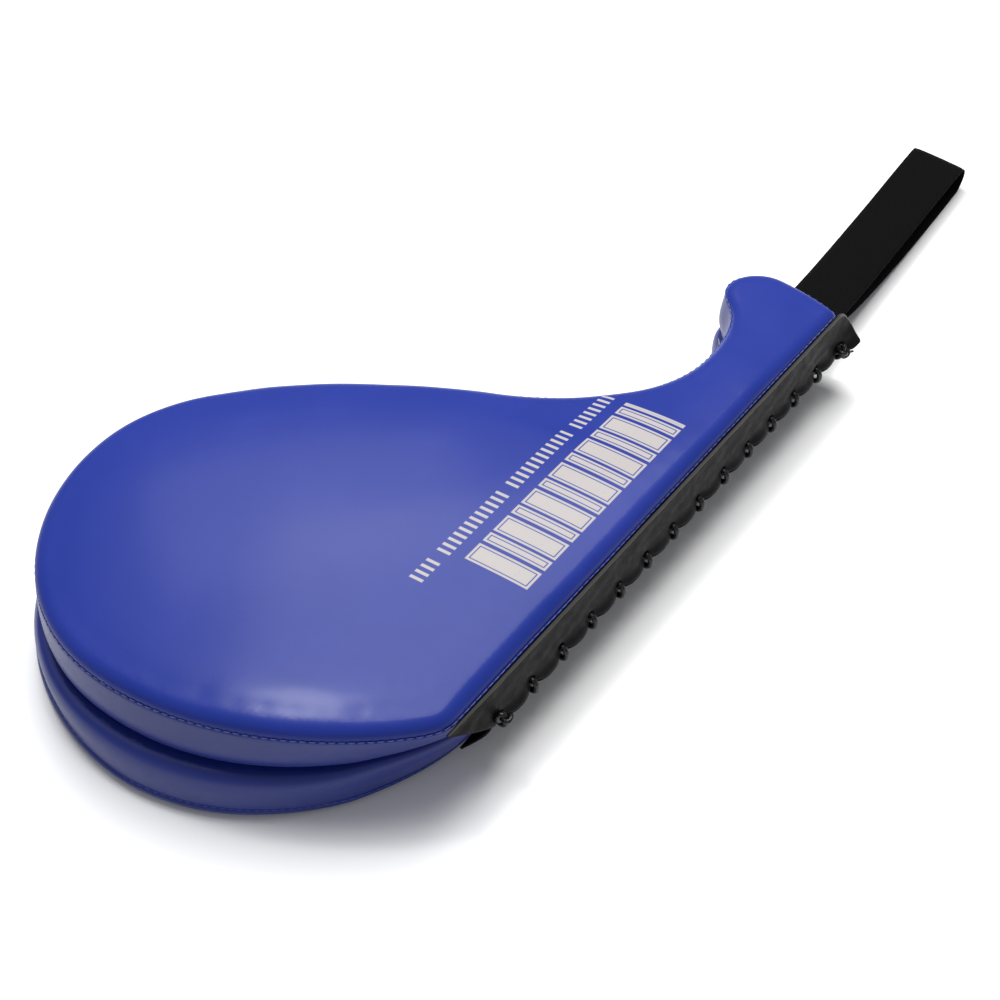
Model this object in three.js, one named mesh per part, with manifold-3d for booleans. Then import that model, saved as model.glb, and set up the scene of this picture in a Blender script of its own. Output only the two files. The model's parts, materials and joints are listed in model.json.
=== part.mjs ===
// Double kick target: two padded leaves of one paddle outline, laced together along
// their straight edge, with a wrist strap sewn between them at the handle end.
// Millimetres, +Z up. The design frame has x = 0 at the handle end, y = 0 on the laced
// edge and z = 0 on the floor; the head lies towards -x and the free edge towards +y.

import * as THREE from 'three';
import { mergeVertices } from 'three/addons/utils/BufferGeometryUtils.js';
import Module from 'manifold-3d';

const wasm = await Module();
wasm.setup();

// ---------------------------------------------------------------- driving dimensions

const FIT_GAP = 0.3; // air between neighbouring pieces
const HINGE_Z = 27; // height of the plane between the two leaves
const LEAF_CLEARANCE = 1.2; // from that plane to each leaf

const LEATHER = 1.2; // synthetic leather of covers, side walls and linings
const BOARD_THICKNESS = 6; // stiff foam board next to the lining
const SLAT = { length: 188, width: 14, thickness: 3, handleEnd: -12, centreY: 17.5 };

const HEAD_TIP_X = -364;
const HEAD_FAR_Y = 216;

// Where each outline leaves the laced edge, and its control points round the head to the
// far side. At the inner side of a leaf the laced edge stands back, to leave room for the
// lace, and the corner is rounder. The lacing also pulls in the lower leaf's corner.
const UPPER_HEAD = [
  [-292, 0],
  [-300, 0],
  [-306, 6],
  [-315, 15],
  [-342, 43],
  [HEAD_TIP_X, 86],
  [HEAD_TIP_X, 130],
  [HEAD_TIP_X, 186],
  [-325, HEAD_FAR_Y],
];
const LOWER_HEAD = [
  [-262, 0],
  [-278, 0.5],
  [-297, 8],
  [-315, 20],
  [-336, 36],
  [HEAD_TIP_X, 76],
  [HEAD_TIP_X, 116],
  [HEAD_TIP_X, 160],
  [-340, HEAD_FAR_Y],
];
const INNER_HEAD = [
  [-268, 5],
  [-285, 7],
  [-303, 19],
  [-321, 33],
  [-344, 54],
  [HEAD_TIP_X, 86],
  [HEAD_TIP_X, 130],
  [HEAD_TIP_X, 186],
  [-325, HEAD_FAR_Y],
];
const CURVE_POINTS = [1, 6, 8, 9, 10, 8, 5, 4, 5, 4];

// The seam of the lower leaf is shifted from its inner side: by leanX, and by a leanY that
// changes from the laced edge to the far side of the head and of the handle.
const UPPER = {
  side: 1,
  head: UPPER_HEAD,
  stripTipX: -296, // where the strip's top seam ends in a point
  wallTop: 26.2,
  crownRise: 6.6,
  leanX: 0,
  leanY: { laced: 0, head: 0, handle: 0 },
  stretch: 1,
};
const LOWER = {
  side: -1,
  head: LOWER_HEAD,
  stripTipX: -279,
  wallTop: 20.9,
  crownRise: 5.8,
  leanX: -4,
  leanY: { laced: 11, head: 4.5, handle: 2 },
  stretch: 1.018,
};

// Rise of the padded face above its seam, against the distance in from the seam.
const CROWN = [
  { inset: 0, rise: 0 },
  { inset: 1.6, rise: 0.5 },
  { inset: 3.8, rise: 0.85 },
  { inset: 6.4, rise: 1 },
];

const LACE_COUNT = 14;
const LACE_PITCH = 21;
const LACE_FIRST_X = 6; // the loop next to the strap
const LACE_RADIUS = 1.5;
const LACE_LOOP_RADIUS = 3.8; // each loop is a ring about the hinge line of the leaves
const KNOT_RADIUS = 3.2;
const KNOT_STANDOFF = 5.5; // from the hinge line to the middle of a knot

const HINGE_Y = -2.2; // the hinge line lies between the free edges of the two strips
const STRIP_THICKNESS = 1.4;
const STRIP_FREE_EDGE = 0.8; // from the plane between the leaves
const EYELET_RADIUS = 1.9;
const STRIP_FLAP = 17; // how far the strip runs past the handle end
const STRIP_HEAD_X = -273; // where the strip's free edge ends

const STRAP = {
  width: 30,
  thickness: 1.8,
  baseX: 9.5,
  centreY: 24,
  length: 181,
  tipRadius: 8.6,
  yaw: THREE.MathUtils.degToRad(3),
};
const STRAP_MOUTH_X = 9; // where its two layers part
const STRAP_MOUTH_HALF = 0.25;
const TAB = { start: -24, end: 6.6 }; // the strap's ends, sewn between the leaves

const THREAD = { width: 0.6, low: 0.9, high: 1.5 }; // beside the seam and above it

// ---------------------------------------------------------------------------- colours

const BLUE = new THREE.Color(0x3c4ab2);
const THREAD_BLUE = new THREE.Color(0x5a68c8);
const BLACK = new THREE.Color(0x2b2b2b);
const WEBBING = new THREE.Color(0x1b1b1c);
const CORD = new THREE.Color(0x0e0e10);
const LINING = new THREE.Color(0x2f3b94);
const FOAM = new THREE.Color(0xd9d6cc);
const BOARD = new THREE.Color(0x8f9297);
const PLASTIC = new THREE.Color(0xc9c5b8);

function finish(color, roughness) {
  return new THREE.MeshStandardMaterial({ color, roughness, metalness: 0 });
}

// --------------------------------------------------------------------- solid helpers

function namedMesh(name, geometry, material) {
  const mesh = new THREE.Mesh(geometry, material);
  mesh.name = name;
  return mesh;
}

// A closed body from loops of equal length, each joined to the next. The ends are
// capped, unless the last loop joins the first again.
function loft(loops, { closed = false } = {}) {
  const count = loops[0].length;
  const positions = loops.flat().flatMap((p) => [p.x, p.y, p.z]);
  const index = [];
  const spans = closed ? loops.length : loops.length - 1;
  for (let i = 0; i < spans; i += 1) {
    const low = i * count;
    const high = ((i + 1) % loops.length) * count;
    for (let j = 0; j < count; j += 1) {
      const k = (j + 1) % count;
      index.push(low + j, low + k, high + k);
      index.push(low + j, high + k, high + j);
    }
  }
  if (!closed) {
    const last = (loops.length - 1) * count;
    for (const [a, b, c] of THREE.ShapeUtils.triangulateShape(loops[0], [])) {
      index.push(a, c, b);
    }
    for (const [a, b, c] of THREE.ShapeUtils.triangulateShape(loops.at(-1), [])) {
      index.push(last + a, last + b, last + c);
    }
  }
  const geometry = new THREE.BufferGeometry();
  geometry.setAttribute('position', new THREE.Float32BufferAttribute(positions, 3));
  geometry.setIndex(index);
  return facingOut(geometry);
}

function signedVolume(geometry) {
  const position = geometry.getAttribute('position');
  const [a, b, c] = [new THREE.Vector3(), new THREE.Vector3(), new THREE.Vector3()];
  let volume = 0;
  for (let i = 0; i < geometry.index.count; i += 3) {
    a.fromBufferAttribute(position, geometry.index.getX(i));
    b.fromBufferAttribute(position, geometry.index.getX(i + 1));
    c.fromBufferAttribute(position, geometry.index.getX(i + 2));
    volume += a.dot(b.cross(c)) / 6;
  }
  return volume;
}

function facingOut(geometry) {
  if (signedVolume(geometry) < 0) {
    geometry.index.array.reverse();
  }
  return geometry;
}

function toSolid(geometry) {
  const bare = geometry.clone();
  bare.deleteAttribute('normal');
  bare.deleteAttribute('uv');
  const merged = facingOut(mergeVertices(bare, 1e-4));
  return new wasm.Manifold(
    new wasm.Mesh({
      numProp: 3,
      vertProperties: new Float32Array(merged.getAttribute('position').array),
      triVerts: new Uint32Array(merged.index.array),
    }),
  );
}

function toGeometry(solid) {
  const mesh = solid.getMesh();
  const geometry = new THREE.BufferGeometry();
  geometry.setAttribute('position', new THREE.BufferAttribute(mesh.vertProperties, 3));
  geometry.setIndex(new THREE.BufferAttribute(mesh.triVerts, 1));
  return geometry;
}

// ------------------------------------------------------------------------ leaf outline

// The paddle outline, as a list of curves from the handle end along the laced edge.
function outlineCurves(head) {
  const lacedY = head[0][1];
  const endX = 1.5 + lacedY / 4;
  const path = new THREE.Path();
  path.moveTo(endX, lacedY);
  path.lineTo(...head[0]);
  path.bezierCurveTo(...head[1], ...head[2], ...head[3]);
  path.bezierCurveTo(...head[4], ...head[5], ...head[6]);
  path.bezierCurveTo(...head[7], ...head[8], -276, HEAD_FAR_Y);
  path.bezierCurveTo(-228, HEAD_FAR_Y, -174, 150, -142, 95);
  path.bezierCurveTo(-124, 64, -97, 33, -62, 33);
  path.bezierCurveTo(-48, 33, -35, 35.5, -26, 45.5);
  path.bezierCurveTo(-22, 50, -19, 53.6, -12, 53.6);
  path.bezierCurveTo(-4, 53.6, 6, 44, 6, 33);
  path.bezierCurveTo(6, 22, 5, 8 + lacedY / 2, endX, lacedY);
  return path.curves;
}

// The outline's points in counter-clockwise order, seen from above.
function samplePoints(curves) {
  return curves.flatMap((curve, i) => curve.getPoints(CURVE_POINTS[i]).slice(0, -1)).reverse();
}

const INNER_OUTLINE = samplePoints(outlineCurves(INNER_HEAD));

// Moves each point of a loop inwards by the same distance, mitred at its corners.
function insetLoop(points, distance) {
  return points.map((point, i) => {
    const before = points.at(i - 1);
    const after = points[(i + 1) % points.length];
    const a = new THREE.Vector2().subVectors(point, before).normalize();
    const b = new THREE.Vector2().subVectors(after, point).normalize();
    const normal = new THREE.Vector2(-a.y - b.y, a.x + b.x).normalize();
    const mitre = normal.dot(new THREE.Vector2(-a.y, a.x));
    return point.clone().addScaledVector(normal, distance / mitre);
  });
}

// One loop of a leaf, at a height measured outwards from the plane between the leaves.
function leafLoop(leaf, height, inset) {
  const share = THREE.MathUtils.clamp(height / leaf.wallTop, 0, 1);
  const seam = samplePoints(outlineCurves(leaf.head));
  const outline = seam.map((point, i) => INNER_OUTLINE[i].clone().lerp(point, share));
  return insetLoop(outline, inset).map((point) => placeOnLeaf(leaf, point.x, point.y, height));
}

function leanY(leaf, x, y) {
  const { lerp, smoothstep } = THREE.MathUtils;
  const head = lerp(leaf.leanY.laced, leaf.leanY.head, smoothstep(y, 0, 80));
  const handle = lerp(leaf.leanY.laced, leaf.leanY.handle, smoothstep(y, 0, 30));
  return lerp(head, handle, smoothstep(x, -150, -90));
}

function placeOnLeaf(leaf, x, y, height) {
  const share = height / leaf.wallTop;
  return new THREE.Vector3(
    x * (x < 0 ? leaf.stretch : 1) + leaf.leanX * share,
    y + leanY(leaf, x, y) * share,
    HINGE_Z + leaf.side * height,
  );
}

// -------------------------------------------------------------------- pieces of a leaf

const INSIDE_WALL = LEATHER + FIT_GAP;
const BOARD_LOW = LEAF_CLEARANCE + LEATHER + FIT_GAP;
const BOARD_HIGH = BOARD_LOW + BOARD_THICKNESS;

function crownLoops(leaf, depth) {
  return CROWN.map(({ inset, rise }) =>
    leafLoop(leaf, leaf.wallTop + FIT_GAP + rise * leaf.crownRise - depth, inset + depth),
  );
}

// The struck face: a crowned sheet of leather over the padding.
function faceCover(leaf) {
  const outside = crownLoops(leaf, 0);
  const inside = crownLoops(leaf, LEATHER);
  inside[0] = leafLoop(leaf, leaf.wallTop + FIT_GAP, LEATHER);
  return loft([...inside.reverse(), ...outside]);
}

// The side wall: a band of leather all the way round the leaf.
function sideBand(leaf) {
  const heights = [LEAF_CLEARANCE, BOARD_HIGH, leaf.wallTop];
  const outside = heights.map((height) => leafLoop(leaf, height, 0));
  const inside = heights.map((height) => leafLoop(leaf, height, LEATHER));
  return loft([...inside, ...outside.reverse()], { closed: true });
}

function layer(leaf, low, high) {
  return loft([leafLoop(leaf, low, INSIDE_WALL), leafLoop(leaf, high, INSIDE_WALL)]);
}

function slatBox(leaf, clearance) {
  const depth = SLAT.thickness + clearance;
  const box = new THREE.BoxGeometry(
    SLAT.length + 2 * clearance,
    SLAT.width + 2 * clearance,
    depth,
  );
  const centre = placeOnLeaf(
    leaf,
    SLAT.handleEnd - SLAT.length / 2,
    SLAT.centreY,
    BOARD_HIGH - depth / 2,
  );
  return box.translate(centre.x, centre.y, centre.z);
}

// The stiff board, with a groove in its outer side for the handle slat.
function coreBoard(leaf) {
  const board = toSolid(layer(leaf, BOARD_LOW, BOARD_HIGH));
  const groove = slatBox(leaf, FIT_GAP).translate(0, 0, leaf.side * 0.01);
  return toGeometry(board.subtract(toSolid(groove)));
}

function impactFoam(leaf) {
  const crown = crownLoops(leaf, INSIDE_WALL);
  const bottom = leafLoop(leaf, BOARD_HIGH + FIT_GAP, INSIDE_WALL);
  return loft([bottom, ...crown]);
}

// The thread that closes the seam between cover and side wall stands just outside it.
function seamThread(leaf) {
  const low = leaf.wallTop + THREAD.low;
  const high = leaf.wallTop + THREAD.high;
  return loft(
    [
      leafLoop(leaf, low, -THREAD.width),
      leafLoop(leaf, high, -THREAD.width),
      leafLoop(leaf, high, 0),
      leafLoop(leaf, low, 0),
    ],
    { closed: true },
  );
}

// ------------------------------------------------------------------------ lacing strip

function laceX(index) {
  return LACE_FIRST_X - index * LACE_PITCH;
}

// The black strip hangs from the face seam as a skirt over the side wall, with a row of
// eyelets along its free edge. Its head end runs to a point on the seam, and its handle
// end is a rounded flap.
function lacingStrip(leaf) {
  const top = leaf.wallTop;
  const topY = leaf.leanY.laced - FIT_GAP - STRIP_THICKNESS / 2;
  const slope = (topY - HINGE_Y) / top;
  const shape = new THREE.Shape();
  shape.moveTo(STRIP_FLAP, STRIP_FREE_EDGE);
  shape.lineTo(STRIP_FLAP, 7);
  shape.quadraticCurveTo(STRIP_FLAP - 1, top - 8, 3, top);
  shape.lineTo(leaf.stripTipX, top);
  shape.lineTo(STRIP_HEAD_X, STRIP_FREE_EDGE);
  for (let i = 0; i < LACE_COUNT; i += 1) {
    const eyelet = new THREE.Path();
    const height = LACE_LOOP_RADIUS / Math.hypot(1, slope);
    eyelet.absarc(laceX(i), height, EYELET_RADIUS, 0, 2 * Math.PI);
    shape.holes.push(eyelet);
  }
  const strip = new THREE.ExtrudeGeometry(shape, {
    depth: STRIP_THICKNESS,
    bevelEnabled: false,
    curveSegments: 6,
  });
  const position = strip.getAttribute('position');
  for (let i = 0; i < position.count; i += 1) {
    const height = position.getY(i);
    const y = HINGE_Y + slope * height + STRIP_THICKNESS / 2 - position.getZ(i);
    position.setXYZ(i, position.getX(i), y, HINGE_Z + leaf.side * height);
  }
  return toGeometry(toSolid(strip));
}

// -------------------------------------------------------------------------------- lace

// A point about the hinge line, by its angle from straight up towards the outside.
function aroundHinge(x, angle, radius = LACE_LOOP_RADIUS) {
  return new THREE.Vector3(
    x,
    HINGE_Y - radius * Math.sin(angle),
    HINGE_Z + radius * Math.cos(angle),
  );
}

// Each turn leaves the upper eyelet, goes down over the free edges in one plane into the
// lower eyelet, and runs on behind the strips to the next upper eyelet.
function laceRoute() {
  const first = THREE.MathUtils.degToRad(-35);
  const last = THREE.MathUtils.degToRad(240);
  const points = [];
  for (let i = 0; i < LACE_COUNT; i += 1) {
    for (let step = 0; step <= 9; step += 1) {
      points.push(aroundHinge(laceX(i), THREE.MathUtils.lerp(first, last, step / 9)));
    }
    for (let step = 1; step <= 4 && i < LACE_COUNT - 1; step += 1) {
      const angle = THREE.MathUtils.lerp(last, first + 2 * Math.PI, step / 5);
      const advance = LACE_PITCH * THREE.MathUtils.smoothstep(step / 5, 0, 1);
      points.push(aroundHinge(laceX(i) - advance, angle));
    }
  }
  return new THREE.CatmullRomCurve3(points);
}

function lace() {
  const section = new THREE.Shape();
  section.absarc(0, 0, LACE_RADIUS, 0, 2 * Math.PI);
  const tube = new THREE.ExtrudeGeometry(section, {
    extrudePath: laceRoute(),
    steps: 195,
    bevelEnabled: false,
    curveSegments: 4,
  });
  const knotAngle = THREE.MathUtils.degToRad(135);
  let cord = toSolid(tube);
  for (const end of [0, LACE_COUNT - 1]) {
    const centre = aroundHinge(laceX(end), knotAngle, KNOT_STANDOFF);
    const knot = new THREE.SphereGeometry(KNOT_RADIUS, 10, 7).scale(1.2, 1, 0.9);
    cord = cord.add(toSolid(knot.translate(centre.x, centre.y, centre.z)));
  }
  return toGeometry(cord);
}

// ------------------------------------------------------------------------- wrist strap

// The strap's side view, x along it and y up from its sewn end, sloping to the floor:
// out along the lower layer, round the tip and back along the upper one.
function strapSide(path, inset, mouthX, mouthHalf) {
  const tip = new THREE.Vector2(STRAP.length - STRAP.tipRadius, STRAP.tipRadius - HINGE_Z);
  const radius = STRAP.tipRadius - inset;
  path.moveTo(mouthX, -mouthHalf);
  path.bezierCurveTo(45, inset - 9, 95, tip.y - radius, tip.x, tip.y - radius);
  path.absarc(tip.x, tip.y, radius, -Math.PI / 2, Math.PI / 2, false);
  path.bezierCurveTo(110, tip.y + radius + 3.5, 50, 2 - inset, mouthX, mouthHalf);
  return path;
}

function wristStrap() {
  const shape = strapSide(new THREE.Shape(), 0, 0, STRAP.thickness);
  shape.holes.push(strapSide(new THREE.Path(), STRAP.thickness, STRAP_MOUTH_X, STRAP_MOUTH_HALF));
  const strap = new THREE.ExtrudeGeometry(shape, {
    depth: STRAP.width,
    bevelEnabled: false,
    curveSegments: 10,
  });
  return strap.rotateX(Math.PI / 2).translate(0, STRAP.width / 2, 0);
}

function strapTab() {
  const length = TAB.end - TAB.start;
  return new THREE.BoxGeometry(length, STRAP.width, STRAP.thickness);
}

// ---------------------------------------------------------------------------- assembly

function leafGroup(prefix, leaf) {
  const group = new THREE.Group();
  const bottom = LEAF_CLEARANCE;
  group.add(
    namedMesh(`${prefix}_face_cover`, faceCover(leaf), finish(BLUE, 0.38)),
    namedMesh(`${prefix}_side_band`, sideBand(leaf), finish(BLUE, 0.42)),
    namedMesh(`${prefix}_seam_thread`, seamThread(leaf), finish(THREAD_BLUE, 0.6)),
    namedMesh(`${prefix}_inner_lining`, layer(leaf, bottom, bottom + LEATHER), finish(LINING, 0.5)),
    namedMesh(`${prefix}_core_board`, coreBoard(leaf), finish(BOARD, 0.8)),
    namedMesh(`${prefix}_impact_foam`, impactFoam(leaf), finish(FOAM, 0.9)),
    namedMesh(`${prefix}_handle_slat`, slatBox(leaf, 0), finish(PLASTIC, 0.6)),
    namedMesh(`${prefix}_lacing_strip`, lacingStrip(leaf), finish(BLACK, 0.5)),
  );
  return group;
}

function strapGroup() {
  const tab = namedMesh('strap_tab', strapTab(), finish(WEBBING, 0.85));
  tab.position.set((TAB.start + TAB.end) / 2, STRAP.centreY, HINGE_Z);
  const strap = namedMesh('wrist_strap', wristStrap(), finish(WEBBING, 0.85));
  strap.position.set(STRAP.baseX, STRAP.centreY, HINGE_Z);
  strap.rotation.z = STRAP.yaw;
  const group = new THREE.Group();
  group.add(tab, strap);
  return group;
}

const target = new THREE.Group();
target.add(leafGroup('upper', UPPER), leafGroup('lower', LOWER));
target.add(namedMesh('lace', lace(), finish(CORD, 0.25)));
target.add(strapGroup());

// The part's origin is under the middle of its box, on the floor.
const box = new THREE.Box3().setFromObject(target);
const centre = box.getCenter(new THREE.Vector3());
target.position.set(-centre.x, -centre.y, -box.min.z);

export default target;
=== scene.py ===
import json
import math

import bmesh
import bpy
import numpy as np
from mathutils import Matrix, Vector
from mathutils.geometry import delaunay_2d_cdt


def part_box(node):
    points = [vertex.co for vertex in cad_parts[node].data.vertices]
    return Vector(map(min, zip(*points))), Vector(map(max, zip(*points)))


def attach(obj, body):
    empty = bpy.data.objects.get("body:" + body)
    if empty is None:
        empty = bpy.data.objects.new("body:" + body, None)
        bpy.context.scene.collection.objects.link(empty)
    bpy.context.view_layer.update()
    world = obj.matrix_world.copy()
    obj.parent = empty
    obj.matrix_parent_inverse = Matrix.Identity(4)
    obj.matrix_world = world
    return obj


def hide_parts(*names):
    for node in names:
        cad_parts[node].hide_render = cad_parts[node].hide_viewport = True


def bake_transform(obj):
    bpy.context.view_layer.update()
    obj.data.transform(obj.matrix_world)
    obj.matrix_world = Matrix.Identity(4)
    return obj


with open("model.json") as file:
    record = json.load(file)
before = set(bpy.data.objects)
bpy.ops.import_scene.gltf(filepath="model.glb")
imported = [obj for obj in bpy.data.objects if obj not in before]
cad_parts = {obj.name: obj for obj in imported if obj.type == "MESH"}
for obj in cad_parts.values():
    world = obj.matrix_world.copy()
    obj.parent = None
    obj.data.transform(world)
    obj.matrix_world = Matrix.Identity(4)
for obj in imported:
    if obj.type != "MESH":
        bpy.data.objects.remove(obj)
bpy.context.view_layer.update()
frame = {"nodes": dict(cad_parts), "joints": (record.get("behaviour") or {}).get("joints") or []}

# ------------------------------------------------------------------- places and sizes
# The design frame has x = 0 at the handle end, y = 0 on the laced edge and z = 0 on the
# floor. Lengths in it are millimetres, and ORIGIN is its zero in the row frame, in metres.

MM = 0.001
HINGE_Y = -2.2
STRIP_FLAP = 17.0  # how far the lacing strips of the CAD reach past the handle end
OPENING = next(joint for joint in frame["joints"] if joint["name"] == "leaf_opening")
HINGE_Z = OPENING["pos_m"][2] / MM
ORIGIN = Vector((
    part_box("upper_lacing_strip")[1].x - STRIP_FLAP * MM,
    OPENING["pos_m"][1] - HINGE_Y * MM,
    0.0,
))


def to_row(points):
    """Points of the design frame, in millimetres, as metres in the row frame."""
    return np.asarray(points, float) * MM + np.array(ORIGIN)


# ----------------------------------------------------------------------------- camera

CAMERA_PLACE = (-536.5, -213.0, 575.0)
CAMERA_HEADING = (0.787, 0.616)
CAMERA_DOWN = math.radians(50)
LENS = 55.8


def make_camera():
    data = bpy.data.cameras.new("camera")
    data.lens = LENS
    data.sensor_width = 36
    data.clip_end = 20
    camera = bpy.data.objects.new("camera", data)
    bpy.context.scene.collection.objects.link(camera)
    camera.location = Vector(to_row(CAMERA_PLACE))
    level = math.cos(CAMERA_DOWN)
    look = Vector((CAMERA_HEADING[0] * level, CAMERA_HEADING[1] * level, -math.sin(CAMERA_DOWN)))
    camera.rotation_euler = look.to_track_quat("-Z", "Y").to_euler()
    bpy.context.scene.camera = camera


make_camera()

# ---------------------------------------------------------------------------- outline
# Each head is a chain of Bezier control points, from the laced edge round the tip.

HEAD_TIP_X = -365.5
HEAD_FAR_Y = 218.5
CURVE_POINTS = (96, 12, 42, 44, 60, 34, 16, 7, 12, 12)
GRIP_RECESS = 3.4  # how far the side wall draws in under the struck face at the grip
UPPER_HEAD = (
    (-292, 0), (-300, 0), (-306, 6), (-315, 15), (-342, 43), (HEAD_TIP_X, 86),
    (HEAD_TIP_X, 130), (HEAD_TIP_X, 182), (-322, HEAD_FAR_Y),
)
LOWER_HEAD = (
    (-262, 0), (-278, 0.5), (-297, 8), (-315, 20), (-336, 36), (HEAD_TIP_X, 76),
    (HEAD_TIP_X, 116), (HEAD_TIP_X, 160), (-340, HEAD_FAR_Y),
)
INNER_HEAD = (
    (-268, 5), (-285, 7), (-303, 19), (-321, 33), (-344, 54), (HEAD_TIP_X, 86),
    (HEAD_TIP_X, 130), (HEAD_TIP_X, 182), (-322, HEAD_FAR_Y),
)


class Leaf:
    """The measures of one leaf. Heights are taken from the plane between the leaves."""

    def __init__(self, prefix, side, head, strip_tip_x, wall_top, crown_rise, lean, stretch):
        self.prefix = prefix
        self.body = f"{prefix}_leaf"
        self.side = side
        self.head = head
        self.strip_tip_x = strip_tip_x
        self.wall_top = wall_top
        self.crown_rise = crown_rise
        self.lean_x, self.lean_laced, self.lean_head, self.lean_handle = lean
        self.stretch = stretch


UPPER = Leaf("upper", 1, UPPER_HEAD, -299.0, 26.2, 6.6, (0.0, 0.0, 0.0, 0.0), 1.0)
LOWER = Leaf("lower", -1, LOWER_HEAD, -279.0, 20.9, 5.8, (-4.0, 11.0, 4.5, 2.0), 1.018)


def smoothstep(value, low, high):
    t = np.clip((np.asarray(value, float) - low) / (high - low), 0, 1)
    return t * t * (3 - 2 * t)


def outline(head, refine=1):
    """The paddle outline as points in counter-clockwise order."""
    laced_y = head[0][1]
    end = (1.5 + laced_y / 4, laced_y)
    far = (-276, HEAD_FAR_Y)
    spans = [
        (end, None, None, head[0]),
        (head[0], head[1], head[2], head[3]),
        (head[3], head[4], head[5], head[6]),
        (head[6], head[7], head[8], far),
        (far, (-222, HEAD_FAR_Y), (-173, 153), (-142, 96)),
        ((-142, 96), (-124, 65), (-97, 33), (-62, 33)),
        ((-62, 33), (-48, 33), (-33.5, 35), (-24.5, 45)),
        ((-24.5, 45), (-20, 50), (-17.5, 53.2), (-11, 53.2)),
        ((-11, 53.2), (-4, 53.2), (6, 44), (6, 33)),
        ((6, 33), (6, 22), (5, 8 + laced_y / 2), end),
    ]
    points = []
    for (a, b, c, d), count in zip(spans, CURVE_POINTS):
        a, d = np.array(a, float), np.array(d, float)
        b = a + (d - a) / 3 if b is None else np.array(b, float)
        c = a + (d - a) * 2 / 3 if c is None else np.array(c, float)
        t = np.linspace(0, 1, count * refine, endpoint=False)[:, None]
        points.append(
            (1 - t) ** 3 * a + 3 * (1 - t) ** 2 * t * b + 3 * (1 - t) * t * t * c + t ** 3 * d
        )
    return np.vstack(points)[::-1]


def inwards(loop):
    """The unit vector into the outline at each of its points, lengthened at corners."""
    before = loop - np.roll(loop, 1, 0)
    after = np.roll(loop, -1, 0) - loop
    before /= np.linalg.norm(before, axis=1, keepdims=True)
    after /= np.linalg.norm(after, axis=1, keepdims=True)
    normal = np.stack([-before[:, 1] - after[:, 1], before[:, 0] + after[:, 0]], 1)
    normal /= np.linalg.norm(normal, axis=1, keepdims=True)
    mitre = normal[:, 1] * before[:, 0] - normal[:, 0] * before[:, 1]
    return normal / np.maximum(mitre, 0.5)[:, None]


def place(leaf, x, y, height):
    """A point of a leaf in the design frame, from its place on the outline and its height."""
    x, y, height = np.broadcast_arrays(*(np.asarray(v, float) for v in (x, y, height)))
    share = height / leaf.wall_top
    head = leaf.lean_laced + (leaf.lean_head - leaf.lean_laced) * smoothstep(y, 0, 80)
    handle = leaf.lean_laced + (leaf.lean_handle - leaf.lean_laced) * smoothstep(y, 0, 30)
    lean = head + (handle - head) * smoothstep(x, -150, -90)
    depth = (UPPER.wall_top - leaf.side * height) / (UPPER.wall_top + LOWER.wall_top)
    recess = GRIP_RECESS * depth * smoothstep(y, 32, 44) * smoothstep(x, -62, -36)
    recess *= 1 - smoothstep(x, -20, -4)
    return np.stack([
        np.where(x < 0, x * leaf.stretch, x) + leaf.lean_x * share + recess,
        y + lean * share,
        HINGE_Z + leaf.side * height,
    ], -1)


# ------------------------------------------------------------------------ mesh helpers

def make_mesh(name, points, faces, materials, face_materials=None, uv=None):
    """A smooth mesh object from design-frame points, with its faces turned outwards."""
    mesh = bpy.data.meshes.new(name)
    mesh.from_pydata(to_row(points).tolist(), [], [tuple(int(i) for i in f) for f in faces])
    for material in materials:
        mesh.materials.append(material)
    if face_materials is not None:
        mesh.polygons.foreach_set("material_index", np.asarray(face_materials, np.int32))
    if uv is not None:
        loops = np.zeros(len(mesh.loops), np.int32)
        mesh.loops.foreach_get("vertex_index", loops)
        layer = mesh.uv_layers.new(name="surface")
        layer.data.foreach_set("uv", np.asarray(uv, np.float32)[loops].ravel())
    work = bmesh.new()
    work.from_mesh(mesh)
    bmesh.ops.recalc_face_normals(work, faces=work.faces)
    work.to_mesh(mesh)
    work.free()
    mesh.polygons.foreach_set("use_smooth", np.ones(len(mesh.polygons), bool))
    mesh.update()
    piece = bpy.data.objects.new(name, mesh)
    bpy.context.scene.collection.objects.link(piece)
    return piece


def grid_faces(rows, columns, wrap_rows=False, wrap_columns=False):
    """Quads between neighbouring rows of a grid of points."""
    faces = []
    for i in range(rows if wrap_rows else rows - 1):
        for j in range(columns if wrap_columns else columns - 1):
            k = (j + 1) % columns
            n = (i + 1) % rows
            faces.append((i * columns + j, i * columns + k, n * columns + k, n * columns + j))
    return faces


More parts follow.
